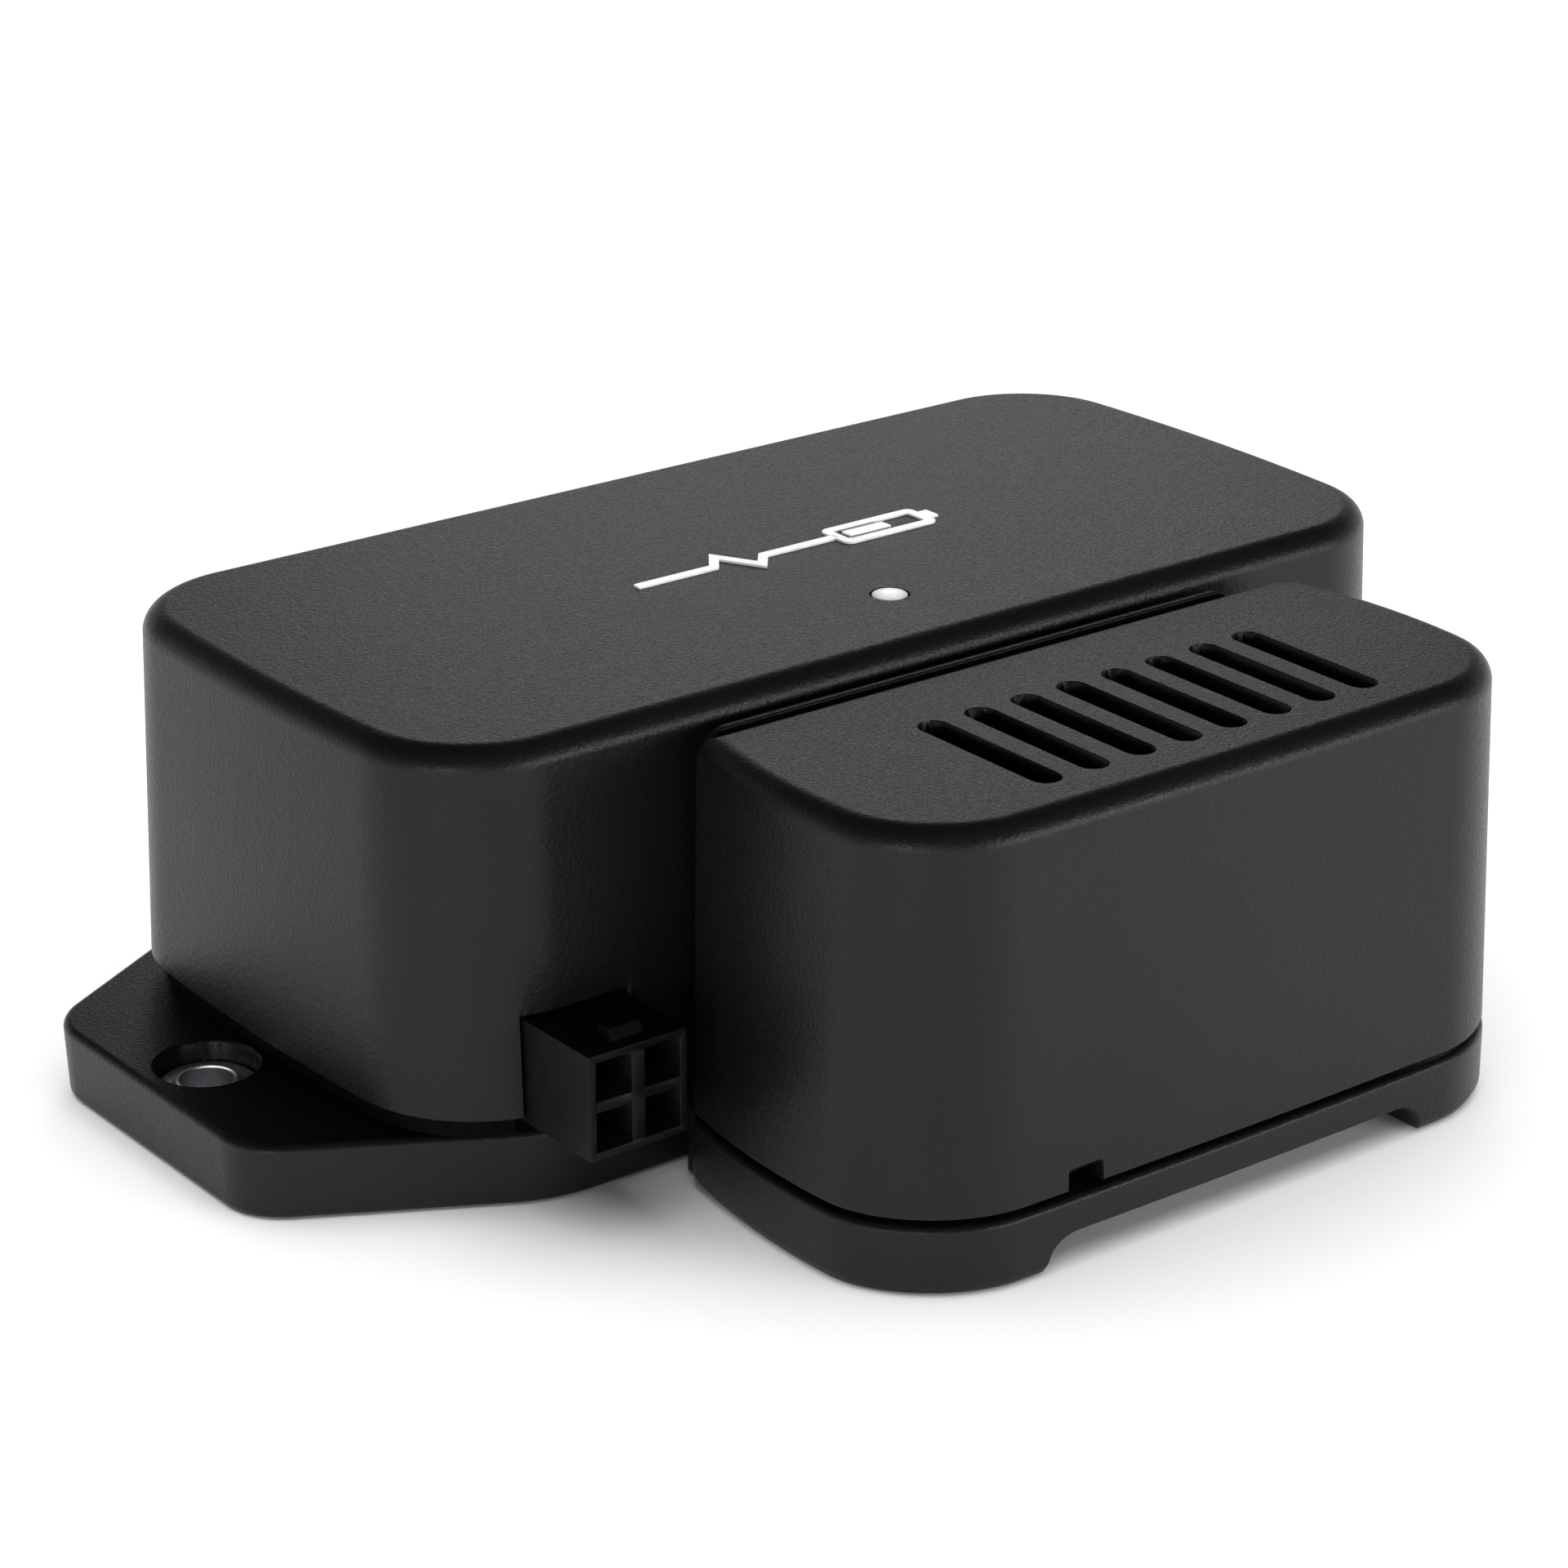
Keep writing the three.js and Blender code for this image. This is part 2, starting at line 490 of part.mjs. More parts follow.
function headerHousing() {
  const { x0, x1, y0, y1, z0, z1, cell } = HEADER;
  const cells = headerPinPlaces().flatMap(([x, z]) => [
    block(x - cell / 2, x + cell / 2, y0 - 1, y1 - 2, z - cell / 2, z + cell / 2),
    block(x - 0.85, x + 0.85, y1 - 3, y1 + 1, z - 0.85, z + 0.85),
  ]);
  const rampPoints = [[0, -0.1], [2.1, -0.1], [2.1, 0.9], [1.4, 0.9]];
  const rampShape = new THREE.Shape(rampPoints.map((point) => new THREE.Vector2(...point)));
  const ramp = new THREE.ExtrudeGeometry(rampShape, { depth: 3.2, bevelEnabled: false });
  ramp.rotateX(Math.PI / 2).rotateZ(Math.PI / 2).translate((x0 + x1) / 2 - 1.6, y0 + 1.3, z1);
  return cut(join(block(x0, x1, y0, y1, z0, z1), solid(ramp)), ...cells);
}

// Each entry is [x, z, board y]: a pin runs along Y at (x, z) and turns down into the board.
function headerPinPlaces() {
  const centre = [(HEADER.x0 + HEADER.x1) / 2, (HEADER.z0 + HEADER.z1) / 2];
  return [-0.5, 0.5].flatMap((column) => [-0.5, 0.5].map((row) => [
    centre[0] + column * HEADER.pitchX,
    centre[1] + row * HEADER.pitchZ,
    row < 0 ? -20.4 : -17.6,
  ]));
}

function headerPin([x, z, boardY]) {
  const half = 0.5;
  return join(
    block(x - half, x + half, HEADER.y0 + 4, boardY + half, z - half, z + half),
    block(x - half, x + half, boardY - half, boardY + half, BOARD.z0 - 1.2, z + half),
  );
}

const chip = (x, y, width, depth, height) => block(
  x - width / 2, x + width / 2, y - depth / 2, y + depth / 2, BOARD.z1 + GAP, BOARD.z1 + GAP + height,
);
const roundPart = (x, y, radius, height) => turned(x, y, [
  [0, BOARD.z1 + GAP],
  [radius, BOARD.z1 + GAP],
  [radius, BOARD.z1 + height - 0.4],
  [radius - 0.4, BOARD.z1 + height],
  [0, BOARD.z1 + height],
]);

function lightPipe() {
  const { x, y, radius } = LIGHT;
  const foot = BOARD.z1 + 2.2;
  return turned(x, y, [
    [0, foot], [2.4, foot], [2.4, foot + 2], [radius, foot + 4],
    [radius, HOUSING.top - 0.1], [radius * 0.6, HOUSING.top + 0.15], [0, HOUSING.top + 0.25],
  ]);
}

// ---- Assembly ----
const shunt = new THREE.Group();
const add = (name, material, made) => {
  const mesh = new THREE.Mesh(geometryOf(made), material.clone());
  mesh.name = name;
  shunt.add(mesh);
};

add("base", FINISH.casing, base());
add("upper_housing", FINISH.casing, upperHousing());
add("terminal_cover", FINISH.casing, terminalCover());
add("housing_gasket", FINISH.gasket, housingGasket());
add("sense_duct", FINISH.casing, senseDuct());
add("light_pipe", FINISH.light, lightPipe());
add("pictogram", FINISH.mark, pictogram());
add("ear_bushing_left", FINISH.steel, earBushing(-EAR_SCREW.x));
add("ear_bushing_right", FINISH.steel, earBushing(EAR_SCREW.x));
cornerScrewPlaces().forEach(([x, y], i) => {
  const { shank, head } = HOUSING_SCREW;
  add(`housing_screw_${i + 1}`, FINISH.steel, screw(x, y, 2.4, 17, shank, head, 1.8, -1));
});

add("circuit_board", FINISH.board, board());
BOARD_SCREWS.forEach(([x, y], i) => {
  add(`board_screw_${i + 1}`, FINISH.steel, screw(x, y, BOARD.z1 + GAP, 5.0, 1.2, 2.4, 1.5, 1));
});
add("power_header", FINISH.header, headerHousing());
headerPinPlaces().forEach((place, i) => add(`header_pin_${i + 1}`, FINISH.brass, headerPin(place)));
add("microcontroller", FINISH.chip, chip(-8, 4, 9, 9, 1.2));
add("wireless_module", FINISH.can, chip(26, 10, 15, 12, 2.4));
add("sense_amplifier", FINISH.chip, chip(12, -10, 5, 4, 1.4));
add("bus_transceiver", FINISH.chip, chip(-34, -10, 5, 4, 1.4));
add("crystal", FINISH.can, chip(3, 8, 5, 3.2, 1.1));
add("input_fuse", FINISH.chip, chip(-20, -16, 6, 2.6, 2.2));
add("light_source", FINISH.light, chip(LIGHT.x, LIGHT.y, 3, 2.6, 1.2));
add("power_inductor", FINISH.chip, roundPart(-24, -4, 4.2, 4.2));
add("filter_capacitor", FINISH.can, roundPart(-30, 11, 4, 10));

for (const side of ["front", "rear"]) {
  add(`shunt_bar_${side}`, FINISH.brass, shuntBar(side));
  add(`bar_screw_${side}`, FINISH.steel, barScrew(side));
  add(`stud_${side}`, FINISH.steel, stud(side));
  add(`washer_${side}`, FINISH.steel, washer(side));
  add(`spring_washer_${side}`, FINISH.steel, springWasher(side));
  add(`nut_${side}`, FINISH.steel, nut(side));
  add(`sense_lug_${side}`, FINISH.can, senseLug(side));
  add(`sense_screw_${side}`, FINISH.steel, senseScrew(side));
  add(`sense_lead_${side}`, FINISH.wire, senseLead(side, side === "front" ? 2.2 : 6.6));
}
for (let i = 0; i < BLADES.count; i++) add(`shunt_blade_${i + 1}`, FINISH.alloy, blade(i));
add("insulating_divider", FINISH.header, divider());

export default shunt;
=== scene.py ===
"""Looks of the battery monitor shunt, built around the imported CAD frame. Lengths are metres."""

import json
import math

import bmesh
import bpy
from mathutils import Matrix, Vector


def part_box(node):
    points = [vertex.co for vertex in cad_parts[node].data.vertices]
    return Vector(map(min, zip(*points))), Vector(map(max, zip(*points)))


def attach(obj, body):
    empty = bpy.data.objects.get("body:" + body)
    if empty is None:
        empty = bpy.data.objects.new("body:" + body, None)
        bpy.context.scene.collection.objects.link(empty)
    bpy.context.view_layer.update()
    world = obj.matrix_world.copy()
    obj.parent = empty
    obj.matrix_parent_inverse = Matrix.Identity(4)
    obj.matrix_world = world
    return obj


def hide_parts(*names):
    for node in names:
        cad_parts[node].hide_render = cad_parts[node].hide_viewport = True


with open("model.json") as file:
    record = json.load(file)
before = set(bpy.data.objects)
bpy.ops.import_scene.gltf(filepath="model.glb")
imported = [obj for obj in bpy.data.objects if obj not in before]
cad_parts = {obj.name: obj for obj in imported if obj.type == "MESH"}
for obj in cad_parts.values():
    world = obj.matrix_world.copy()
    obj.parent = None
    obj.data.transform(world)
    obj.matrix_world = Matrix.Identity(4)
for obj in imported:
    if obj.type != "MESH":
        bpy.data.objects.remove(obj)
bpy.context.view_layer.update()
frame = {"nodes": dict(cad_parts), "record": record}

MM = 0.001
HARD_EDGE = math.radians(38)

# ---- Shapes that the boxes of the frame do not say ----
HOUSING_FORM = dict(corner=10.5, rear_left=10.5, rear_right=10.5, end_bow=1.5, front_bow=0.0,
                    draft=0.9, rear_draft=0.9, fillet=2.1, wall=2.0)
COVER_FORM = dict(corner=9.5, rear_left=1.0, rear_right=3.4, end_bow=1.7, front_bow=0.55,
                  draft=1.0, rear_draft=0.0, fillet=2.0, wall=2.0)
TRAY_RIM = 6.1
PLATE_THICK = 6.8
TRAY_FLOOR = 4.2
EAR = dict(corner=6.5, front_reach=-14.1, rear_reach=18.3, front_start=43.3, rear_start=49.1,
           front=-26.9, rear=27.8, front_radius=14, rear_radius=6, top_edge=0.7, foot_edge=0.3)
EAR_SCREW = dict(x=59.7, y=2.1, recess=4.57, recess_floor=3.7, hole=3.4)
ARCH = dict(x0=-18.9, x1=23.6, height=3.0, ramp=3.6)
SLOTS = dict(count=8, pitch=5.0, centre=3.44, y0=-55.5, y1=-38.7, width=2.85)
NOTCH = dict(x0=-16.8, x1=-13.1, top=8.7)
BACK_PLATE = dict(x0=-30.6, x1=29.6, y0=-29.4, y1=-28.6, top=39.8, corner=2.9, lean=0.7)
CABLE_MOUTH = dict(ys=(-51.0, -39.0), width=9.4, top=21.0)
FOOT = dict(overhang=0.6, front=-30.4)
BRIDGE = dict(low=(-16, -30, 2.2), high=(20, -26.4, TRAY_RIM))
DUCT_BOTTOM = 13.7
HEADER_CELL = dict(size=3.5, pitch_x=4.85, pitch_z=4.5)
LATCH = dict(half_width=1.6, start=1.3, rise=2.0, end=3.4, root=0.2)
BUSHING = dict(bore=2.25, barrel=3.1, bottom=0.3, flange_bottom=4.0, flange_top=5.0, ring_top=5.4)
PULSE = dict(points=[(-16, -1.1), (-7.5, -1.1), (-5.9, 1.1), (-3.6, -3.1), (-2.0, -1.1), (6.2, -1.1)],
             stroke=0.9)
BATTERY = dict(x0=6, x1=16.6, y0=-3.3, y1=1.1, corner=0.8, line=0.9, inner_corner=0.3)
BATTERY_TIP = dict(low=(16.5, -2.0), high=(17.6, -0.2))
BATTERY_CHARGE = dict(low=(7.5, -1.8), high=(12.2, -0.4))
GAP = 0.3
CAMERA = dict(lens=101.26, sensor=36.0, shift=(-0.00658, -0.00139), azimuth=-37.598, elevation=21.952,
              distance=0.37805, target=(-14.68, -22.16, 29.52))
FLOOR_HALF = 4000
WALL_LIGHT = dict(fade_start=0.08, fade_end=0.46, wall=0.72, ceiling=0.08)
HEADER_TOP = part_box("power_header")[1].z / MM - 0.9
LENS_RADIUS = 1.6
EAR_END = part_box("base")[1].x / MM


# ---- Mesh helpers ----
def new_piece(name, mesh, body="root", replaces=(), material=None):
    piece = bpy.data.objects.new(name, mesh)
    bpy.context.scene.collection.objects.link(piece)
    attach(piece, body)
    if replaces:
        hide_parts(*replaces)
    if material:
        piece.data.materials.append(material)
    return piece


def mesh_from(name, points, faces):
    mesh = bpy.data.meshes.new(name)
    mesh.from_pydata([tuple(c * MM for c in p) for p in points], [], faces)
    mesh.validate()
    whole = bmesh.new()
    whole.from_mesh(mesh)
    bmesh.ops.recalc_face_normals(whole, faces=whole.faces)
    whole.to_mesh(mesh)
    whole.free()
    return mesh


def loft(name, rings):
    """A closed mesh through rings of equal length, capped at the first and the last."""
    count = len(rings[0])
    points = [p for ring in rings for p in ring]
    faces = [tuple(range(count))]
    for r in range(len(rings) - 1):
        low = r * count
        high = low + count
        for i in range(count):
            j = (i + 1) % count
            faces.append((low + i, high + i, high + j, low + j))
    faces.append(tuple(reversed(range((len(rings) - 1) * count, len(rings) * count))))
    return mesh_from(name, points, faces)


def rounded_corners(corners, arc_steps=16, side_steps=24):
    """Points round an anticlockwise polygon whose corners are (x, y, radius), always the same count."""
    points = []
    arcs = []
    count = len(corners)
    for i, (x, y, radius) in enumerate(corners):
        corner = Vector((x, y))
        before = (Vector(corners[i - 1][:2]) - corner).normalized()
        after = (Vector(corners[(i + 1) % count][:2]) - corner).normalized()
        half = math.acos(max(-1.0, min(1.0, before.dot(after)))) / 2
        centre = corner + (before + after).normalized() * (radius / math.sin(half))
        start = corner + before * (radius / math.tan(half)) - centre
        end = corner + after * (radius / math.tan(half)) - centre
        turn = math.atan2(start.x * end.y - start.y * end.x, start.dot(end))
        first = math.atan2(start.y, start.x)
        angles = [first + turn * k / arc_steps for k in range(arc_steps + 1)]
        arcs.append([centre + radius * Vector((math.cos(a), math.sin(a))) for a in angles])
    for i, arc in enumerate(arcs):
        points += arc
        target = arcs[(i + 1) % count][0]
        points += [arc[-1].lerp(target, k / side_steps) for k in range(1, side_steps)]
    return points


def casing(node, form):
    """The casing's rectangle at its top edge, worked out from the box of its CAD node."""
    low, high = (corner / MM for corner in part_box(node))
    grow = form["draft"] + form["end_bow"]
    return dict(form, x0=low.x + grow, x1=high.x - grow, y0=low.y + form["draft"] + form["front_bow"],
                y1=high.y - form["rear_draft"], bottom=low.z, top=high.z)


def casing_ring(shape, z, inset=0.0):
    """One level of a drafted casing, its end walls and front wall gently bowed."""
    spread = (shape["top"] - z) / (shape["top"] - shape["bottom"])
    out = shape["draft"] * spread - inset
    rear = shape["rear_draft"] * spread - inset
    x0 = shape["x0"] - out
    x1 = shape["x1"] + out
    y0 = shape["y0"] - out
    y1 = shape["y1"] + rear
    radii = [max(shape[key] + out, 0.25) for key in ("corner", "corner", "rear_right", "rear_left")]
    corners = [(x0, y0), (x1, y0), (x1, y1), (x0, y1)]
    flat = rounded_corners([(x, y, radius) for (x, y), radius in zip(corners, radii)])
    centre_x = (x0 + x1) / 2
    centre_y = (y0 + y1) / 2
    ring = []
    for p in flat:
        u = (p.x - centre_x) / ((x1 - x0) / 2)
        v = (p.y - centre_y) / ((y1 - y0) / 2)
        front = shape["front_bow"] * v * max(0.0, 1 - u * u) if v < 0 else 0.0
        ring.append((p.x + shape["end_bow"] * u * max(0.0, 1 - v * v), p.y + front, z))
    return ring


def fillet_levels(top, radius, steps=12):
    """(inset, z) down a quarter round below `top`."""
    angles = [math.pi / 2 * k / steps for k in range(steps + 1)]
    return [(radius * (1 - math.sin(a)), top - radius * (1 - math.cos(a))) for a in angles]


def casing_shell(name, shape):
    """A hollow drafted casing, open below, with a rounded top edge and a softened lower lip."""
    top = shape["top"]
    bottom = shape["bottom"]
    wall = shape["wall"]
    lip = 0.25
    inner_round = 1.2
    wall_steps = 12
    outer = fillet_levels(top, shape["fillet"])
    last = outer[-1][1]
    outer += [(0.0, last + (bottom + lip - last) * k / wall_steps) for k in range(1, wall_steps + 1)]
    outer += [(lip * 0.3, bottom + lip * 0.3), (lip, bottom)]
    inner = [(wall - lip, bottom), (wall, bottom + lip)]
    inner += [(wall, top - wall - inner_round), (wall + inner_round, top - wall)]
    return loft(name, [casing_ring(shape, z, inset) for inset, z in outer + inner])


def block_mesh(name, low, high):
    x0, y0, z0 = low
    x1, y1, z1 = high
    return loft(name, [[(x0, y0, z), (x1, y0, z), (x1, y1, z), (x0, y1, z)] for z in (z1, z0)])


def prism_mesh(name, outline, z0, z1):
    return loft(name, [[(x, y, z) for x, y in outline] for z in (z1, z0)])


def disc(x, y, radius, steps=48):
    angles = [2 * math.pi * k / steps for k in range(steps)]
    return [(x + radius * math.cos(a), y + radius * math.sin(a)) for a in angles]


def lathe(name, x, y, profile, steps=64):
    """A body of revolution about a vertical axis, its (radius, z) profile running down the outside."""
    rings = [[(px, py, z) for px, py in disc(x, y, radius, steps)] for radius, z in profile]
    return loft(name, rings)


def joined(name, meshes):
    whole = bmesh.new()
    for mesh in meshes:
        whole.from_mesh(mesh)
        bpy.data.meshes.remove(mesh)
    mesh = bpy.data.meshes.new(name)
    whole.to_mesh(mesh)
    whole.free()
    return mesh


def finished(mesh, cutters=(), bevel=0.0, segments=3):
    """The mesh after its cuts, with its hard edges broken and its flats shaded flat."""
    made = bpy.data.objects.new("working", mesh)
    bpy.context.scene.collection.objects.link(made)
    others = []
    for cutter in cutters:
        other = bpy.data.objects.new("operand", cutter)
        bpy.context.scene.collection.objects.link(other)
        others.append(other)
        step = made.modifiers.new("cut", "BOOLEAN")
        step.operation = "DIFFERENCE"
        step.object = other
        step.solver = "EXACT"
    if bevel:
        edge = made.modifiers.new("edge", "BEVEL")
        edge.width = bevel * MM
        edge.segments = segments
        edge.limit_method = "ANGLE"
        edge.angle_limit = HARD_EDGE
        edge.miter_outer = "MITER_ARC"
        edge.use_clamp_overlap = True
    for polygon in mesh.polygons:
        polygon.use_smooth = True
    weighted = made.modifiers.new("normals", "WEIGHTED_NORMAL")
    weighted.keep_sharp = False
    weighted.weight = 50
    depsgraph = bpy.context.evaluated_depsgraph_get()
    result = bpy.data.meshes.new_from_object(made.evaluated_get(depsgraph), depsgraph=depsgraph)
    for polygon in result.polygons:
        polygon.use_smooth = True
    for extra in [made, *others]:
        old = extra.data
        bpy.data.objects.remove(extra)
        bpy.data.meshes.remove(old)
    result.materials.clear()
    return result


# ---- Materials ----
def shader(name, color, roughness, metallic=0.0, **sockets):
    material = bpy.data.materials.new(name)
    material.use_nodes = True
    principled = material.node_tree.nodes["Principled BSDF"]
    principled.inputs["Base Color"].default_value = (*color, 1)
    principled.inputs["Roughness"].default_value = roughness
    principled.inputs["Metallic"].default_value = metallic
    for socket, value in sockets.items():
        principled.inputs[socket.replace("_", " ")].default_value = value
    return material, principled


def node(material, kind, **inputs):
    made = material.node_tree.nodes.new(kind)
    for key, value in inputs.items():
        made.inputs[key.replace("_", " ")].default_value = value
    return made


def noise(material, size, detail=3.0, stretch=(1, 1, 1)):
    """Noise in object space whose grains are about `size` millimetres across."""
    tree = material.node_tree
    place = tree.nodes.new("ShaderNodeTexCoord")
    scale = node(material, "ShaderNodeMapping", Scale=stretch)
    texture = node(material, "ShaderNodeTexNoise", Scale=1 / (size * MM), Detail=detail)
    tree.links.new(place.outputs["Object"], scale.inputs["Vector"])
    tree.links.new(scale.outputs["Vector"], texture.inputs["Vector"])
    return texture.outputs["Fac"]


def ramp(material, value, low, high, start=0.35, end=0.65):
    made = node(material, "ShaderNodeMapRange", From_Min=start, From_Max=end, To_Min=low, To_Max=high)
    material.node_tree.links.new(value, made.inputs["Value"])
    return made.outputs["Result"]


def tint(material, value, dark, light):
    mix = material.node_tree.nodes.new("ShaderNodeMix")
    mix.data_type = "RGBA"
    mix.inputs["A"].default_value = (*dark, 1)
    mix.inputs["B"].default_value = (*light, 1)
    material.node_tree.links.new(value, mix.inputs["Factor"])
    return mix.outputs["Result"]


def bump(material, principled, heights):
    """Stacks bumps; each height is (texture output, depth in millimetres)."""
    below = None
    for value, depth in heights:
        made = node(material, "ShaderNodeBump", Distance=depth * MM)
        material.node_tree.links.new(value, made.inputs["Height"])
        if below:
            material.node_tree.links.new(below, made.inputs["Normal"])
        below = made.outputs["Normal"]
    material.node_tree.links.new(below, principled.inputs["Normal"])


def moulded_black():
    """Black casing plastic with a fine spark-eroded grain."""
    material, principled = shader("moulded_black", (0.007, 0.0075, 0.0088), 0.4, Specular_IOR_Level=0.24)
    link = material.node_tree.links.new
    grain = noise(material, 0.15, 2.0)
    pebbles = noise(material, 0.40, 2.0)
    cloud = noise(material, 18.0, 3.0)
    shade = tint(material, ramp(material, cloud, 0, 1), (0.0060, 0.0065, 0.0078), (0.0080, 0.0086, 0.0102))
    link(shade, principled.inputs["Base Color"])
    link(ramp(material, grain, 0.28, 0.46), principled.inputs["Roughness"])
    bump(material, principled, [(pebbles, 0.042), (grain, 0.020)])
    return material


def satin_black():
    """Smoother black of the header."""
    material, principled = shader("satin_black", (0.0035, 0.0038, 0.0044), 0.42, Specular_IOR_Level=0.14)
    link = material.node_tree.links.new
    link(ramp(material, noise(material, 1.4, 3.0), 0.36, 0.50), principled.inputs["Roughness"])
    bump(material, principled, [(noise(material, 0.12, 2.0), 0.003)])
    return material


def metal(name, color, roughness, grain=0.08, stretch=(1, 1, 12)):
    material, principled = shader(name, color, roughness, 1.0)
    link = material.node_tree.links.new
    lines = noise(material, grain, 4.0, stretch)
    patches = noise(material, 2.2, 4.0)
    dull = tuple(c * 0.72 for c in color)
    link(tint(material, ramp(material, patches, 0, 1), dull, color), principled.inputs["Base Color"])
    link(ramp(material, lines, roughness * 0.75, roughness * 1.35), principled.inputs["Roughness"])
    bump(material, principled, [(lines, 0.003)])
    return material


def plain_plastic(name, color, roughness, grain=0.3, depth=0.004, specular=0.5):
    material, principled = shader(name, color, roughness, Specular_IOR_Level=specular)
    link = material.node_tree.links.new
    light = tuple(min(1.0, c * 1.2) for c in color)
    shade = tint(material, ramp(material, noise(material, 6.0), 0, 1), color, light)
    link(shade, principled.inputs["Base Color"])
    polish = ramp(material, noise(material, grain), roughness * 0.85, roughness * 1.15)
    link(polish, principled.inputs["Roughness"])
    bump(material, principled, [(noise(material, grain), depth)])
    return material


def board_green():
    """Solder mask with faint copper pours showing through."""
    material, principled = shader("board_green", (0.008, 0.06, 0.03), 0.35, Coat_Weight=0.3)
    link = material.node_tree.links.new
    pours = material.node_tree.nodes.new("ShaderNodeTexVoronoi")
    pours.feature = "DISTANCE_TO_EDGE"
    pours.inputs["Scale"].default_value = 1 / (5 * MM)
    place = material.node_tree.nodes.new("ShaderNodeTexCoord")
    link(place.outputs["Object"], pours.inputs["Vector"])
    track = ramp(material, pours.outputs["Distance"], 0, 1, 0.02, 0.06)
    link(tint(material, track, (0.004, 0.03, 0.016), (0.012, 0.085, 0.04)), principled.inputs["Base Color"])
    link(ramp(material, noise(material, 1.2), 0.28, 0.45), principled.inputs["Roughness"])
    bump(material, principled, [(track, 0.03)])
    return material


def lit_lens():
    """Diffusing light pipe, lit white, brightest over the light source and dimmer towards its rim."""
    material, principled = shader("lit_lens", (0.36, 0.37, 0.38), 0.25, Emission_Strength=1.0)
    link = material.node_tree.links.new
    low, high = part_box("light_pipe")
    centre_x = (low.x + high.x) / 2
    centre_y = (low.y + high.y) / 2
    place = material.node_tree.nodes.new("ShaderNodeTexCoord")
    away = material.node_tree.nodes.new("ShaderNodeVectorMath")
    away.operation = "DISTANCE"
    away.inputs[1].default_value = (centre_x, centre_y, high.z)
    link(place.outputs["Object"], away.inputs[0])
    glow = ramp(material, away.outputs["Value"], 1, 0, 0.3 * MM, LENS_RADIUS * 0.95 * MM)
    link(tint(material, glow, (0.0, 0.0, 0.0), (0.42, 0.43, 0.44)), principled.inputs["Emission Color"])
    link(ramp(material, noise(material, 0.5), 0.2, 0.3), principled.inputs["Roughness"])
    bump(material, principled, [(noise(material, 0.6), 0.004)])
    return material


MATERIALS = {
    "casing": moulded_black(),
    "header": satin_black(),
    "gasket": plain_plastic("gasket_rubber", (0.002, 0.002, 0.0022), 0.8, 0.2, 0.01, 0.05),
    "light": lit_lens(),
    "mark": plain_plastic("mark_grey", (0.64, 0.65, 0.66), 0.5, 0.25, 0.006),
    "steel": metal("zinc_steel", (0.60, 0.61, 0.63), 0.30),
    "brass": metal("machined_brass", (0.62, 0.44, 0.20), 0.28, 0.1, (1, 14, 1)),
    "alloy": metal("resistance_alloy", (0.42, 0.30, 0.22), 0.38, 0.1, (1, 1, 16)),
    "board": board_green(),
    "chip": plain_plastic("chip_black", (0.010, 0.010, 0.011), 0.45, 0.15, 0.006),
    "can": metal("tinned_metal", (0.66, 0.67, 0.68), 0.26, 0.2, (1, 1, 1)),
    "wire": plain_plastic("wire_red", (0.32, 0.012, 0.010), 0.40, 0.6, 0.006),
}


def dress_cad_nodes():
    slots = {part["node"]: part["material_slot"] for part in frame["record"]["subparts"]}
    for name, obj in frame["nodes"].items():
        obj.data.materials.clear()
        obj.data.materials.append(MATERIALS[slots[name]])


# ---- Casing pieces ----
def half_turn(start, steps):
    return [start + math.pi * k / steps for k in range(steps + 1)]


def stadium(x, y0, y1, width, steps=12):
    """A slot along Y with round ends."""
    radius = width / 2
    ends = [(y1 - radius, half_turn(0.0, steps)), (y0 + radius, half_turn(math.pi, steps))]
    return [(x + radius * math.cos(a), y + radius * math.sin(a)) for y, angles in ends for a in angles]


def duct_window(low_y, high_y, bottom):
    low, high = (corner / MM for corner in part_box("sense_duct"))
    return block_mesh("cutter", (low.x - GAP, low_y, bottom), (high.x + GAP, high_y, high.z + GAP))


def upper_housing():
    shape = casing("upper_housing", HOUSING_FORM)
    head_low, head_high = (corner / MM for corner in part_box("power_header"))
    lens_low, lens_high = (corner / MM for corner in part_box("light_source"))
    lens_x = (lens_low.x + lens_high.x) / 2
    lens_y = (lens_low.y + lens_high.y) / 2
    cutters = [
        block_mesh("cutter", (head_low.x - GAP, -30, 0), (head_high.x + GAP, -20, HEADER_TOP + GAP)),
        prism_mesh("cutter", disc(lens_x, lens_y, LENS_RADIUS + 0.2), shape["top"] - 5, shape["top"] + 1),
        duct_window(-30, -20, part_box("sense_duct")[0].z / MM - GAP),
    ]
    mesh = finished(casing_shell("housing_shell", shape), cutters, bevel=0.12, segments=2)
    return new_piece("housing_shell", mesh, "root", ["upper_housing"], MATERIALS["casing"])


def slot_cutter(shape):
    first = SLOTS["centre"] - (SLOTS["count"] - 1) / 2 * SLOTS["pitch"]
    outlines = [
        stadium(first + i * SLOTS["pitch"], SLOTS["y0"], SLOTS["y1"], SLOTS["width"])
        for i in range(SLOTS["count"])
    ]
    return joined("slots", [prism_mesh("slot", o, shape["top"] - 4, shape["top"] + 1) for o in outlines])


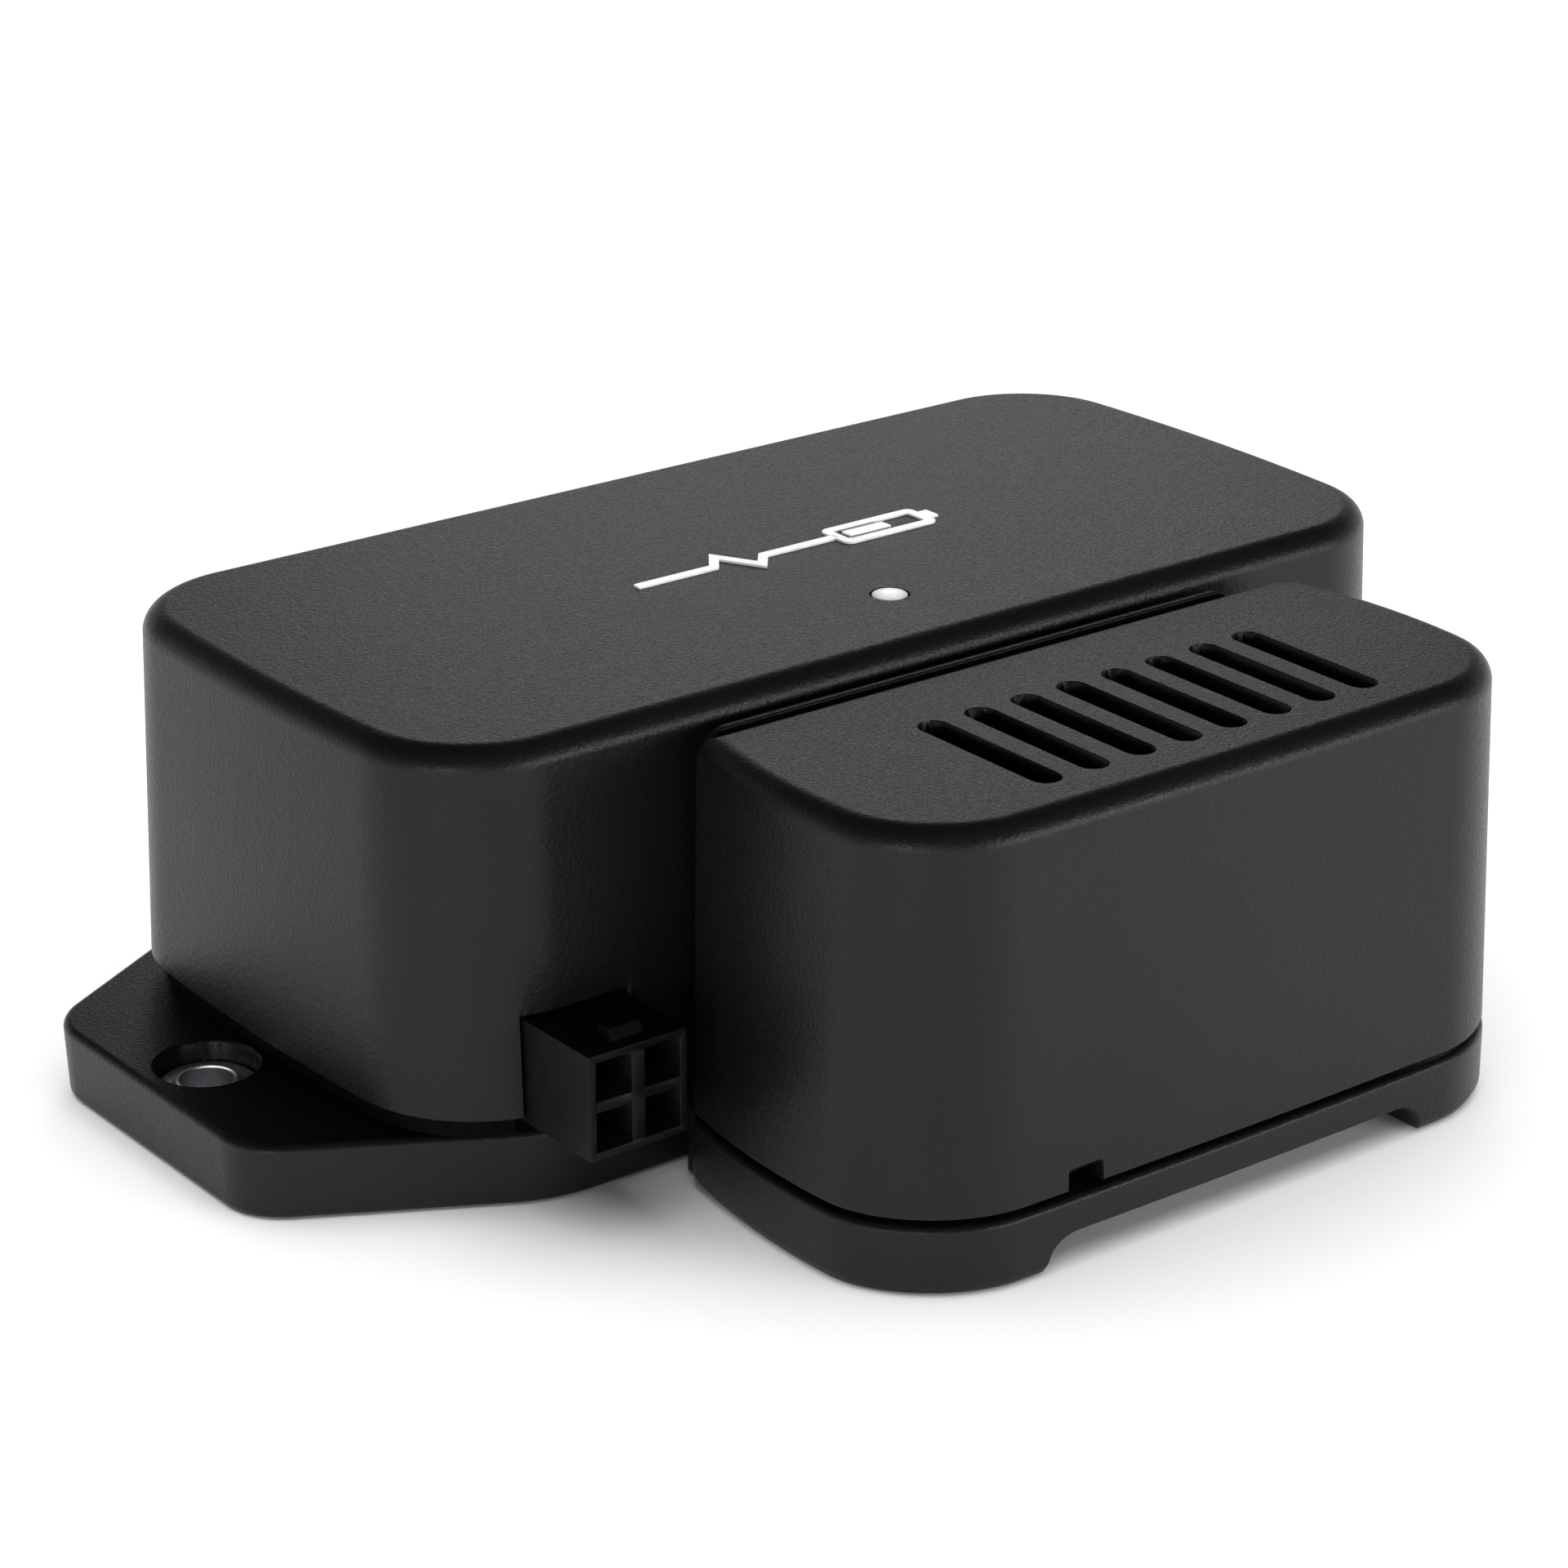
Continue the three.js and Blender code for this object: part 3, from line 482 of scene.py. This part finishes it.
def terminal_cover():
    """The lift-off cover, with the latch finger that shows in its pry notch."""
    shape = casing("terminal_cover", COVER_FORM)
    cutters = [slot_cutter(shape), notch_cutter(shape), duct_window(-36, -28, 0)]
    cutters += [mouth_cutter(shape, y) for y in CABLE_MOUTH["ys"]]
    finger = block_mesh(
        "finger",
        (NOTCH["x1"] - 1.9, shape["y0"] + 1.1, NOTCH["top"] - 2.0),
        (NOTCH["x1"] + 0.8, shape["y0"] + 2.2, NOTCH["top"] + 3),
    )
    shell = finished(casing_shell("cover_shell", shape), cutters, bevel=0.13, segments=2)
    mesh = joined("cover_shell", [shell, finished(finger, bevel=0.15)])
    return new_piece("cover_shell", mesh, "cover", ["terminal_cover"], MATERIALS["casing"])


def notch_cutter(shape):
    """The pry notch: a small window with rounded upper corners."""
    x0, x1, top = (NOTCH[key] for key in ("x0", "x1", "top"))
    outline = rounded_corners([(x0, 0, 0.01), (x1, 0, 0.01), (x1, top, 0.35), (x0, top, 0.35)], 4, 2)
    return loft("cutter", [[(p.x, y, p.y) for p in outline] for y in (shape["y0"] - 4, shape["y0"] + 4)])


def mouth_cutter(shape, y):
    """A cable mouth: an arch through the right end wall."""
    radius = CABLE_MOUTH["width"] / 2
    spring = CABLE_MOUTH["top"] - radius
    arc = [(y + radius * math.cos(a), spring + radius * math.sin(a)) for a in half_turn(0.0, 24)]
    outline = [(y + radius, 0)] + arc + [(y - radius, 0)]
    return loft("cutter", [[(x, py, pz) for py, pz in outline] for x in (shape["x1"] + 5, shape["x1"] - 6)])


def ear_ring(z, inset):
    """One level of the ear plate; the slanted sides move less than the straight ones."""
    end = EAR_END - inset
    corner = EAR["corner"] - inset
    front_reach = EAR["front_reach"] + inset * 0.6
    rear_reach = EAR["rear_reach"] - inset * 0.6
    front_start = EAR["front_start"] - inset * 0.4
    rear_start = EAR["rear_start"] - inset * 0.4
    front = EAR["front"] + inset
    rear = EAR["rear"] - inset
    corners = [
        (-end, front_reach, corner),
        (-front_start, front, EAR["front_radius"]),
        (front_start, front, EAR["front_radius"]),
        (end, front_reach, corner),
        (end, rear_reach, corner),
        (rear_start, rear, EAR["rear_radius"]),
        (-rear_start, rear, EAR["rear_radius"]),
        (-end, rear_reach, corner),
    ]
    return [(p.x, p.y, z) for p in rounded_corners(corners, 10, 6)]


def ear_plate():
    """The base plate with its two screw ears, a softened upper edge and a small foot chamfer."""
    foot = EAR["foot_edge"]
    taper = 0.25
    levels = fillet_levels(PLATE_THICK, EAR["top_edge"], 4) + [(taper, foot), (taper + foot, 0.0)]
    return loft("ear_plate", [ear_ring(z, inset) for inset, z in levels])


def arch_cutter():
    """The arch between the two feet of the tray."""
    x0, x1, height, ramp_length = (ARCH[key] for key in ("x0", "x1", "height", "ramp"))
    steps = [k / 10 for k in range(11)]
    curve = [(x0 + ramp_length * (t * t * 0.9 + t * 0.1), height * (1 - (1 - t) ** 2)) for t in steps]
    mirrored = [(x0 + x1 - x, z) for x, z in reversed(curve)]
    outline = [(x0 - 0.5, -1.0)] + curve + mirrored + [(x1 + 0.5, -1.0)]
    return loft("cutter", [[(x, y, z) for x, z in outline] for y in (-70, -28.0)])


def terminal_tray():
    """A tray that follows the cover's lower edge, standing out from it by `ledge`."""
    shape = casing("terminal_cover", COVER_FORM)
    ledge = 0.1
    levels = fillet_levels(TRAY_RIM, 0.6, 4) + [(0.0, 0.9), (0.5, 0.0)]
    rings = []
    for inset, z in levels:
        edge = casing_ring(shape, shape["bottom"], inset - ledge)
        rings.append([(x, y, z) for x, y, _ in edge])
    return loft("tray", rings)


def back_plate():
    x0, x1, y0, y1, top, corner = (BACK_PLATE[key] for key in ("x0", "x1", "y0", "y1", "top", "corner"))
    corners = [(x0, 0, 0.3), (x1, 0, 0.3), (x1, top, corner), (x0 + BACK_PLATE["lean"], top, corner)]
    outline = rounded_corners(corners, 12, 4)
    return loft("back_plate", [[(p.x, y, p.y) for p in outline] for y in (y0, y1)])


def ear_recesses():
    cutters = []
    for x in (-EAR_SCREW["x"], EAR_SCREW["x"]):
        recess = disc(x, EAR_SCREW["y"], EAR_SCREW["recess"], 64)
        hole = disc(x, EAR_SCREW["y"], EAR_SCREW["hole"], 48)
        cutters.append(prism_mesh("cutter", recess, EAR_SCREW["recess_floor"], PLATE_THICK + 1))
        cutters.append(prism_mesh("cutter", hole, -1, PLATE_THICK))
    return cutters


def base():
    plate = finished(ear_plate(), ear_recesses(), bevel=0.3)
    tray = finished(terminal_tray(), [tray_pocket(), arch_cutter()], bevel=0.15, segments=2)
    upright_cuts = [duct_window(-36, -28, DUCT_BOTTOM), arch_cutter()]
    upright = finished(back_plate(), upright_cuts, bevel=0.2, segments=2)
    bridge = finished(block_mesh("bridge", BRIDGE["low"], BRIDGE["high"]), bevel=0.2)
    foot_low = (BACK_PLATE["x0"] - FOOT["overhang"], FOOT["front"], 0)
    foot_high = (BACK_PLATE["x1"], BACK_PLATE["y1"], TRAY_RIM)
    foot = finished(block_mesh("foot", foot_low, foot_high), [arch_cutter()], bevel=0.3)
    mesh = joined("base_moulding", [plate, tray, upright, bridge, foot])
    return new_piece("base_moulding", mesh, "root", ["base"], MATERIALS["casing"])


def tray_pocket():
    shape = casing("terminal_cover", COVER_FORM)
    ring = casing_ring(shape, shape["top"], 3.5)
    return loft("cutter", [[(x, y, z) for x, y, _ in ring] for z in (TRAY_RIM + 3, TRAY_FLOOR)])


# ---- Small pieces ----
def power_header():
    low, high = (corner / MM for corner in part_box("power_header"))
    size, pitch_x, pitch_z = (HEADER_CELL[key] for key in ("size", "pitch_x", "pitch_z"))
    centre_x = (low.x + high.x) / 2
    centre_z = (low.z + HEADER_TOP) / 2
    xs = (centre_x - pitch_x / 2, centre_x + pitch_x / 2)
    zs = (centre_z - pitch_z / 2, centre_z + pitch_z / 2)
    cells = joined("cells", [
        block_mesh("cell", (x - size / 2, low.y - 1, z - size / 2), (x + size / 2, high.y - 2, z + size / 2))
        for x in xs for z in zs
    ])
    block = block_mesh("body", (low.x, low.y, low.z), (high.x, high.y, HEADER_TOP))
    body = finished(block, [cells], bevel=0.09, segments=2)
    root = HEADER_TOP - LATCH["root"]
    start, rise, end = (LATCH[key] for key in ("start", "rise", "end"))
    side_view = [(start, root), (rise, high.z), (end, high.z), (end, root)]
    sides = (centre_x - LATCH["half_width"], centre_x + LATCH["half_width"])
    rings = [[(x, low.y + y, z) for y, z in side_view] for x in sides]
    latch = finished(loft("latch", rings), bevel=0.06, segments=2)
    mesh = joined("header_body", [body, latch])
    return new_piece("header_body", mesh, "root", ["power_header"], MATERIALS["header"])


def ear_bushing(name, node_name):
    """A flanged bushing; its ring stands a little above the flange."""
    low, high = (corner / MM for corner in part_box(node_name))
    x = (low.x + high.x) / 2
    y = (low.y + high.y) / 2
    flange = (high.x - low.x) / 2
    bore, barrel, bottom = (BUSHING[key] for key in ("bore", "barrel", "bottom"))
    under, top, ring_top = (BUSHING[key] for key in ("flange_bottom", "flange_top", "ring_top"))
    profile = [
        (bore, bottom), (bore, ring_top - 0.15), (bore + 0.15, ring_top), (bore + 0.5, ring_top),
        (barrel - 0.1, top + 0.05), (barrel + 0.05, top), (flange - 0.12, top), (flange, top - 0.12),
        (flange, under + 0.1), (barrel, under), (barrel, bottom),
    ]
    rings = [[(px, py, z) for px, py in disc(x, y, radius, 72)] for radius, z in profile]
    mesh = finished(tube_of_rings(name, rings), bevel=0.05, segments=1)
    return new_piece(name, mesh, "root", [node_name], MATERIALS["steel"])


def tube_of_rings(name, rings):
    """A ring-shaped solid: the rings join one another and the last joins the first."""
    count = len(rings[0])
    levels = len(rings)
    faces = []
    for r in range(levels):
        low = r * count
        high = ((r + 1) % levels) * count
        faces += [(low + i, low + (i + 1) % count, high + (i + 1) % count, high + i) for i in range(count)]
    return mesh_from(name, [p for ring in rings for p in ring], faces)


def light_lens():
    """The light pipe: a low dome in the top face on a wider foot above the light source."""
    low, high = (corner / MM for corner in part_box("light_pipe"))
    x = (low.x + high.x) / 2
    y = (low.y + high.y) / 2
    dome_rise = 0.3
    foot_radius = 2.4
    angles = [math.pi / 2 * k / 8 for k in range(1, 9)]
    dome = [(LENS_RADIUS * math.sin(a), high.z - dome_rise * (1 - math.cos(a))) for a in angles]
    foot = [(LENS_RADIUS, low.z + 4), (foot_radius, low.z + 2), (foot_radius, low.z)]
    mesh = lathe("light_lens", x, y, dome + foot)
    return new_piece("light_lens", finished(mesh), "root", ["light_pipe"], MATERIALS["light"])


def ribbon(points, stroke):
    """The outline of a line of even width, mitred at its corners."""
    points = [Vector(p) for p in points]
    left = []
    right = []
    for i, p in enumerate(points):
        back = (p - points[i - 1]).normalized() if i else (points[1] - p).normalized()
        ahead = (points[i + 1] - p).normalized() if i < len(points) - 1 else back
        bisector = (back + ahead).normalized()
        side = Vector((-bisector.y, bisector.x)) * (stroke / 2 / max(bisector.dot(back), 0.3))
        left.append(p + side)
        right.append(p - side)
    return [tuple(p) for p in right + list(reversed(left))]


def battery_outline(inset, corner, arc_steps):
    x0 = BATTERY["x0"] + inset
    x1 = BATTERY["x1"] - inset
    y0 = BATTERY["y0"] + inset
    y1 = BATTERY["y1"] - inset
    places = [(x0, y0), (x1, y0), (x1, y1), (x0, y1)]
    return [tuple(p) for p in rounded_corners([(x, y, corner) for x, y in places], arc_steps, 1)]


def pictogram():
    """A pulse line that runs into a battery sign, raised a little from the top face."""
    low, high = (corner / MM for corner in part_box("pictogram"))
    z0 = low.z - 0.1
    z1 = high.z - 0.1
    pulse = prism_mesh("pulse", ribbon(PULSE["points"], PULSE["stroke"]), z0, z1)
    rim = prism_mesh("cell", battery_outline(0, BATTERY["corner"], 6), z0, z1)
    inner = battery_outline(BATTERY["line"], BATTERY["inner_corner"], 4)
    cell = finished(rim, [prism_mesh("cutter", inner, z0 - 1, z1 + 1)])
    blocks = [
        block_mesh("block", (*part["low"], z0), (*part["high"], z1))
        for part in (BATTERY_TIP, BATTERY_CHARGE)
    ]
    mesh = finished(joined("mark", [pulse, cell, *blocks]), bevel=0.05, segments=1)
    return new_piece("mark", mesh, "root", ["pictogram"], MATERIALS["mark"])


# ---- Stage ----
def camera():
    """Long lens from the front left, looking slightly down."""
    data = bpy.data.cameras.new("camera")
    data.lens = CAMERA["lens"]
    data.sensor_width = CAMERA["sensor"]
    data.shift_x, data.shift_y = CAMERA["shift"]
    data.clip_start = 0.01
    made = bpy.data.objects.new("camera", data)
    bpy.context.scene.collection.objects.link(made)
    azimuth = math.radians(CAMERA["azimuth"])
    elevation = math.radians(CAMERA["elevation"])
    level = Vector((math.sin(azimuth), -math.cos(azimuth), 0)) * math.cos(elevation)
    back = level + Vector((0, 0, math.sin(elevation)))
    made.location = Vector(CAMERA["target"]) * MM + back * CAMERA["distance"]
    made.rotation_euler = back.to_track_quat("Z", "Y").to_euler()
    bpy.context.scene.camera = made


def softbox(name, place, aim, size, watts, only_on=None):
    """A rectangular soft light; `only_on` limits it to some objects, as a flag would on a real set."""
    data = bpy.data.lights.new(name, "AREA")
    data.shape = "RECTANGLE"
    data.size, data.size_y = size
    data.energy = watts
    made = bpy.data.objects.new(name, data)
    bpy.context.scene.collection.objects.link(made)
    made.location = place
    made.rotation_euler = (Vector(place) - Vector(aim)).to_track_quat("Z", "Y").to_euler()
    made.visible_camera = False
    if only_on:
        lit = bpy.data.collections.new(name + "_lit")
        for receiver in only_on:
            lit.objects.link(receiver)
        made.light_linking.receiver_collection = lit


def floor():
    corners = [(-1, -1), (1, -1), (1, 1), (-1, 1)]
    mesh = mesh_from("floor", [(x * FLOOR_HALF, y * FLOOR_HALF, 0) for x, y in corners], [(0, 1, 2, 3)])
    made = bpy.data.objects.new("floor", mesh)
    bpy.context.scene.collection.objects.link(made)
    material, _ = shader("floor_white", (0.9, 0.9, 0.9), 0.9, Specular_IOR_Level=0.0)
    mesh.materials.append(material)
    made.location.z = -0.0002
    return made


def studio():
    """Light walls low down round the set, fading to a dark ceiling above them."""
    world = bpy.data.worlds.new("studio")
    bpy.context.scene.world = world
    world.use_nodes = True
    tree = world.node_tree
    direction = tree.nodes.new("ShaderNodeTexCoord")
    split = tree.nodes.new("ShaderNodeSeparateXYZ")
    fade = tree.nodes.new("ShaderNodeMapRange")
    fade.interpolation_type = "SMOOTHSTEP"
    fade.inputs["From Min"].default_value = WALL_LIGHT["fade_start"]
    fade.inputs["From Max"].default_value = WALL_LIGHT["fade_end"]
    fade.inputs["To Min"].default_value = WALL_LIGHT["wall"]
    fade.inputs["To Max"].default_value = WALL_LIGHT["ceiling"]
    tree.links.new(direction.outputs["Generated"], split.inputs["Vector"])
    tree.links.new(split.outputs["Z"], fade.inputs["Value"])
    tree.links.new(fade.outputs["Result"], tree.nodes["Background"].inputs["Strength"])
    tree.nodes["Background"].inputs["Color"].default_value = (0.97, 0.985, 1.0, 1)


def lights(ground):
    """The wash lights the floor and the small bright pieces; flags keep it off the black mouldings."""
    black = {MATERIALS["casing"], MATERIALS["header"], MATERIALS["gasket"]}
    meshes = [o for o in bpy.context.scene.objects if o.type == "MESH" and o != ground]
    bright = [o for o in meshes if o.data.materials[0] not in black]
    softbox("wash", (0.0, 0.1, 2.0), (0, 0, 0), (4.0, 4.0), 104, [ground, *bright])
    softbox("rear", (0.56, 0.72, 0.42), (0, 0, 0.04), (0.40, 0.30), 0.43)
    softbox("front_left", (-1.1, -0.75, 0.20), (0, 0, 0.02), (0.7, 0.24), 2.8)
    softbox("front_right", (0.55, -1.2, 0.20), (0, 0, 0.02), (1.1, 0.24), 6.5)
    bpy.context.scene.view_settings.view_transform = "Standard"


dress_cad_nodes()
upper_housing()
terminal_cover()
base()
power_header()
ear_bushing("bushing_left", "ear_bushing_left")
ear_bushing("bushing_right", "ear_bushing_right")
light_lens()
pictogram()
camera()
studio()
lights(floor())
